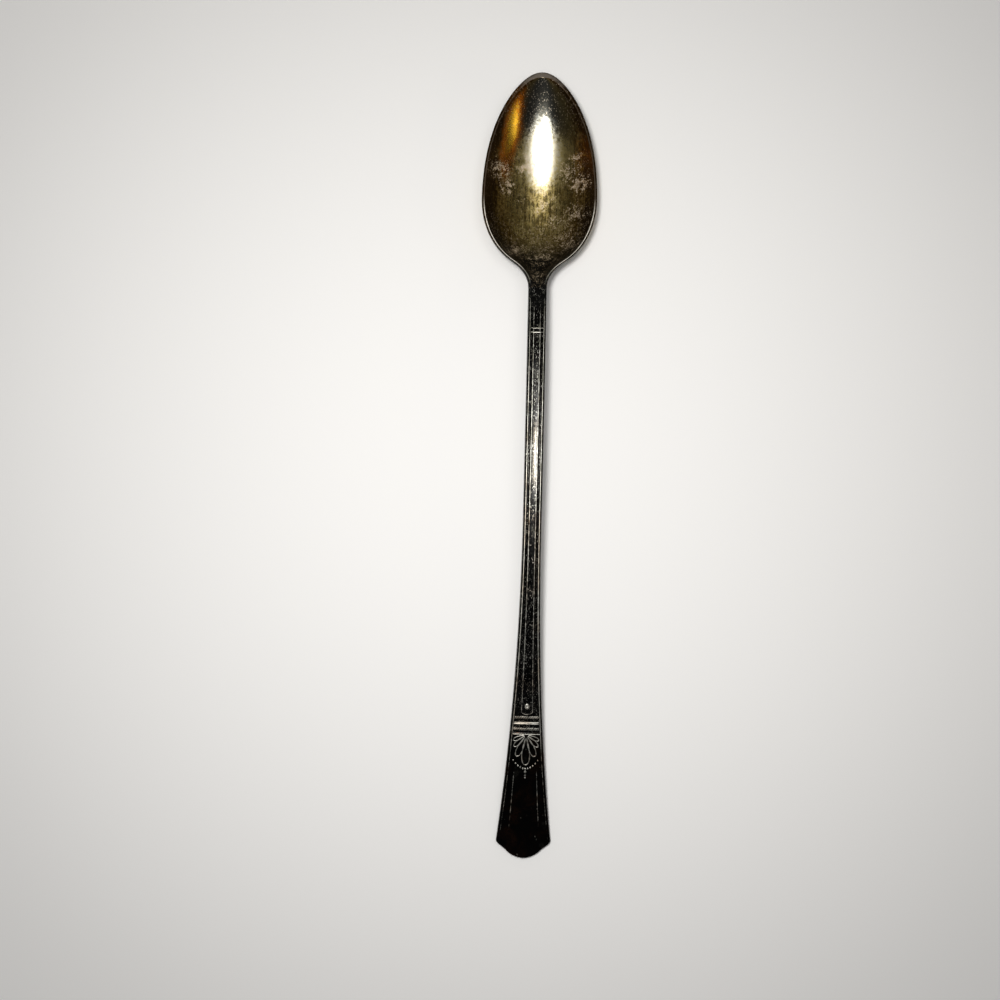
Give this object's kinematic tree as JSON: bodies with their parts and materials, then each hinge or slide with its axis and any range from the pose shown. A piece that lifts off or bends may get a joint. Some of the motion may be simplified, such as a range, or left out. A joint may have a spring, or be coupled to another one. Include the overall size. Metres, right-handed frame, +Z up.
{
  "type": "long-handled teaspoon",
  "caption": "Long-handled teaspoon of tarnished silver plate: egg-shaped bowl, slim arched stem with a raised panel, banded collar and flared handle end.",
  "frame": {"origin": "on the table, under the middle of the spoon's bounding box, with the spoon lying bowl up", "axes": "+Y from the handle end to the bowl tip, +X across the spoon, +Z up from the table"},
  "size_m": [0.0276, 0.19, 0.0148],
  "materials": {
    "bowl_plate": "tarnished silver plate with a yellow-brown film, grey bloom in patches and a bright rubbed rim",
    "stem_plate": "silver plate gone nearly black, rubbed bright along the ridges",
    "end_plate": "silver plate gone black, with a faint brown film and a few bright specks"
  },
  "bodies": {
    "root": {"bowl": "bowl_plate", "neck": "stem_plate", "stem": "stem_plate", "collar": "stem_plate", "handle_end": "end_plate"}
  },
  "joints": []
}
